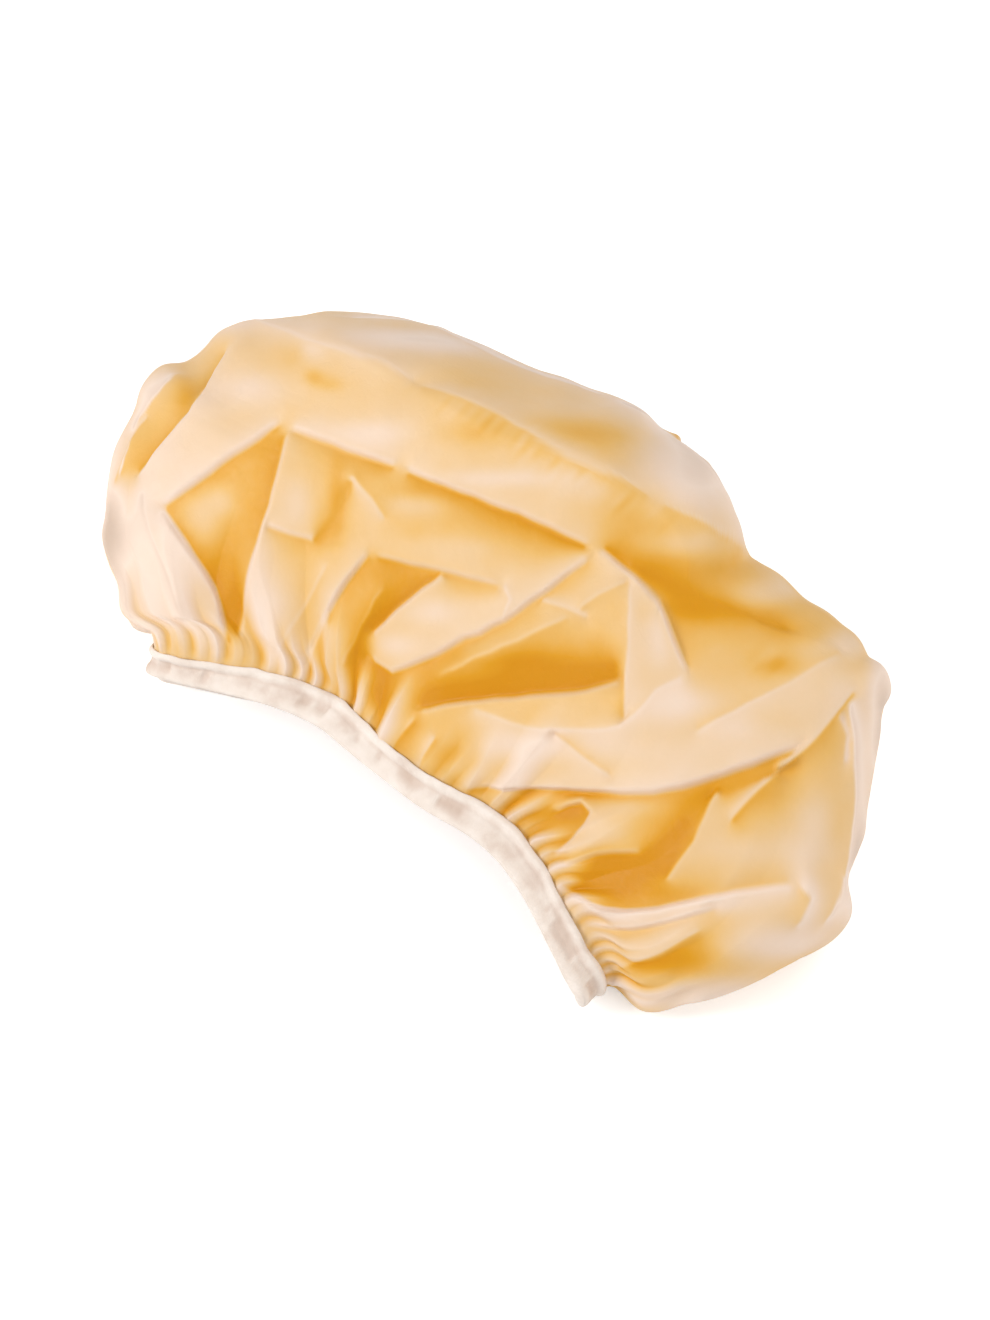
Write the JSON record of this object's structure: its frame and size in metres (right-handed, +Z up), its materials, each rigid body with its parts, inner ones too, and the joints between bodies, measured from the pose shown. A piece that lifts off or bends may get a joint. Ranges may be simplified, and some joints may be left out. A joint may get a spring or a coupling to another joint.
{
  "type": "shower cap",
  "caption": "Soft waterproof shower cap with a puffed translucent film shell, a loose lining, fine gathers and a bound elastic hem, lying on its side.",
  "frame": {"origin": "middle of the cap's bounding box, on the surface that the cap lies on", "axes": "+X along the cap's long side, towards the right as one looks into the mouth; -Y out of the mouth; +Z up"},
  "size_m": [0.3074, 0.179, 0.0985],
  "materials": {
    "frosted_film": "satin frosted film, soft and slightly glossy on the creases",
    "yellow_lining": "smooth satin film",
    "white_tape": "matte knitted binding tape",
    "elastic": "matte braided elastic"
  },
  "bodies": {
    "root": {"outer_film": "frosted_film", "inner_lining": "yellow_lining", "hem_binding": "white_tape", "hem_elastic": "elastic"}
  },
  "joints": []
}
